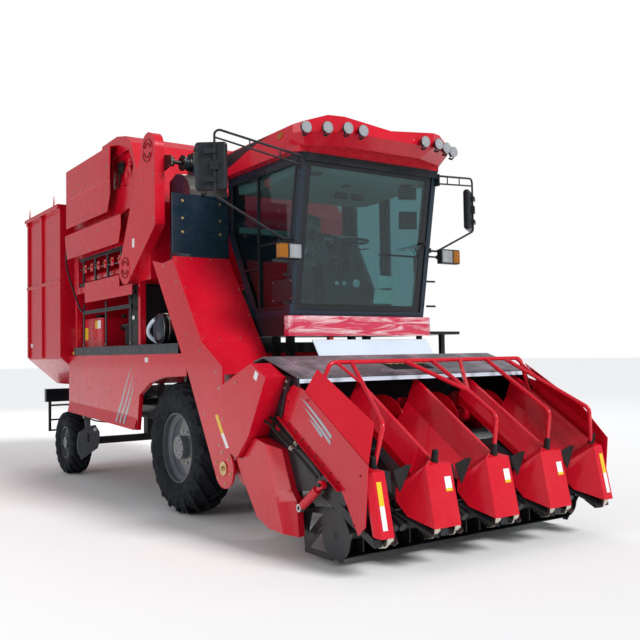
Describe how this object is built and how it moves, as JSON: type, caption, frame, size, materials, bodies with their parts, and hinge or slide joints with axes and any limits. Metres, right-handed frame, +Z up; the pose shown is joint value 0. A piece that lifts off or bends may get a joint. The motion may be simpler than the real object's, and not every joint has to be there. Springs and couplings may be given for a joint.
{
  "type": "self-propelled maize ear harvester",
  "caption": "Red self-propelled corn harvester: picking header with pointed dividers, glazed cab, ear elevator, husker and tipping ear bin on four wheels.",
  "frame": {"origin": "centre of the footprint, on the ground", "axes": "+X machine's left, -Y forward, +Z up"},
  "size_m": [3.1836, 8.01, 3.9659],
  "materials": {
    "red_paint": "gloss",
    "black_paint": "satin",
    "dark_blue_paint": "satin",
    "grey_paint": "satin",
    "rim_silver": "satin",
    "tyre_rubber": "matte",
    "bare_steel": "satin",
    "cast": "matte",
    "window_glass": "gloss",
    "seat_cover": "matte",
    "dark_plastic": "matte",
    "lamp_lens": "gloss"
  },
  "bodies": {
    "machine": {"chassis_frame": "black_paint", "front_axle": "cast", "rear_axle": "cast", "engine": "cast", "deck": "black_paint", "side_panel_right": "red_paint", "side_panel_left": "red_paint", "elevator_housing": "red_paint", "tower_box": "dark_blue_paint", "slope_panel": "red_paint", "drive_shield": "red_paint", "chain_case": "red_paint", "husker_body": "red_paint", "husker_covers": "red_paint", "husk_rolls": "cast", "bin_frame": "black_paint", "cab_frame": "dark_blue_paint", "cab_floor": "black_paint", "cab_roof": "red_paint", "seat": "seat_cover", "steering_column": "dark_plastic", "bumper": "red_paint", "lamps": "lamp_lens", "mirrors": "dark_plastic", "cab_glass": "window_glass", "ladders": "black_paint", "air_cleaner": "black_paint", "exhaust": "bare_steel", "side_tank": "black_paint", "oil_tank": "red_paint", "rear_bumper": "black_paint", "wheel_guards": "grey_paint"},
    "front_wheel_right": {"front_tyre_right": "tyre_rubber", "front_rim_right": "rim_silver"},
    "front_wheel_left": {"front_tyre_left": "tyre_rubber", "front_rim_left": "rim_silver"},
    "steering_right": {"knuckle_right": "cast"},
    "steering_left": {"knuckle_left": "cast"},
    "rear_wheel_right": {"rear_tyre_right": "tyre_rubber", "rear_rim_right": "rim_silver"},
    "rear_wheel_left": {"rear_tyre_left": "tyre_rubber", "rear_rim_left": "rim_silver"},
    "header": {"header_frame": "black_paint", "end_plates": "black_paint", "snouts": "red_paint", "auger_cover": "grey_paint", "header_shields": "red_paint", "row_units": "black_paint", "stalk_guard": "red_paint"},
    "auger": {"cross_auger": "red_paint"},
    "chopper": {"chopper_housing": "black_paint"},
    "rotor": {"chopper_rotor": "cast"},
    "lift_barrel": {"lift_barrels": "black_paint"},
    "lift_rod": {"lift_rods": "bare_steel"},
    "tip_barrel": {"tip_barrels": "black_paint"},
    "tip_rod": {"tip_rods": "bare_steel"},
    "trim_barrel": {"trim_barrels": "red_paint"},
    "trim_rod": {"trim_rods": "bare_steel"},
    "bin": {"ear_bin": "red_paint"},
    "door": {"cab_door": "dark_blue_paint"}
  },
  "joints": [
    {"name": "front_wheel_right_spin", "type": "hinge", "parent": "machine", "child": "front_wheel_right", "pos_m": [-1.078, -0.875, 0.632], "axis": [1, 0, 0], "continuous": true},
    {"name": "front_wheel_left_spin", "type": "hinge", "parent": "machine", "child": "front_wheel_left", "pos_m": [1.078, -0.875, 0.632], "axis": [1, 0, 0], "continuous": true},
    {"name": "steer_right", "type": "hinge", "parent": "machine", "child": "steering_right", "pos_m": [-0.9, 2.611, 0.405], "axis": [0, 0, 1], "range_deg": [-30, 30]},
    {"name": "steer_left", "type": "hinge", "parent": "machine", "child": "steering_left", "pos_m": [0.9, 2.611, 0.405], "axis": [0, 0, 1], "range_deg": [-30, 30]},
    {"name": "rear_wheel_right_spin", "type": "hinge", "parent": "steering_right", "child": "rear_wheel_right", "pos_m": [-1.12, 2.611, 0.405], "axis": [1, 0, 0], "continuous": true},
    {"name": "rear_wheel_left_spin", "type": "hinge", "parent": "steering_left", "child": "rear_wheel_left", "pos_m": [1.12, 2.611, 0.405], "axis": [1, 0, 0], "continuous": true},
    {"name": "header_lift", "type": "hinge", "parent": "machine", "child": "header", "pos_m": [0, -2.195, 0.59], "axis": [-1, 0, 0], "range_deg": [0, 20]},
    {"name": "auger_spin", "type": "hinge", "parent": "header", "child": "auger", "pos_m": [0, -2.805, 0.96], "axis": [1, 0, 0], "continuous": true},
    {"name": "chopper_trim", "type": "hinge", "parent": "header", "child": "chopper", "pos_m": [0, -3.025, 0.42], "axis": [-1, 0, 0], "range_deg": [-4, 0]},
    {"name": "trim_barrel_swing", "type": "hinge", "parent": "header", "child": "trim_barrel", "pos_m": [0, -3.465, 0.6], "axis": [-1, 0, 0], "range_deg": [0, 1.5]},
    {"name": "trim_rod_slide", "type": "slide", "parent": "trim_barrel", "child": "trim_rod", "axis": [0, 0.8137, -0.5812], "range_m": [0, 0.01]},
    {"name": "rotor_spin", "type": "hinge", "parent": "chopper", "child": "rotor", "pos_m": [0, -3.475, 0.235], "axis": [1, 0, 0], "continuous": true},
    {"name": "lift_barrel_swing", "type": "hinge", "parent": "machine", "child": "lift_barrel", "pos_m": [0, -1.69, 0.375], "axis": [-1, 0, 0], "range_deg": [0, 9]},
    {"name": "lift_rod_slide", "type": "slide", "parent": "lift_barrel", "child": "lift_rod", "axis": [0, -0.9973, 0.0732], "range_m": [0, 0.055]},
    {"name": "bin_tip", "type": "hinge", "parent": "machine", "child": "bin", "pos_m": [1.255, 2.985, 1.44], "axis": [0, 1, 0], "range_deg": [0, 45]},
    {"name": "tip_barrel_swing", "type": "hinge", "parent": "machine", "child": "tip_barrel", "pos_m": [-0.5, 2.985, 1], "axis": [0, -1, 0], "range_deg": [0, 12]},
    {"name": "tip_rod_slide", "type": "slide", "parent": "tip_barrel", "child": "tip_rod", "axis": [0.8013, 0, 0.5983], "range_m": [0, 0.8]},
    {"name": "door_swing", "type": "hinge", "parent": "machine", "child": "door", "pos_m": [0.785, -1.697, 2.5], "axis": [0, 0, 1], "range_deg": [0, 80]}
  ],
  "couplings": [
    {"joint": "trim_barrel_swing", "follows": "chopper_trim", "ratio": -0.325},
    {"joint": "trim_rod_slide", "follows": "chopper_trim", "m_per_rad": -0.1146},
    {"joint": "steer_left", "follows": "steer_right", "ratio": 1},
    {"joint": "lift_barrel_swing", "follows": "header_lift", "ratio": 0.42},
    {"joint": "lift_rod_slide", "follows": "header_lift", "m_per_rad": 0.139},
    {"joint": "tip_barrel_swing", "follows": "bin_tip", "ratio": 0.2556},
    {"joint": "tip_rod_slide", "follows": "bin_tip", "m_per_rad": 1}
  ]
}
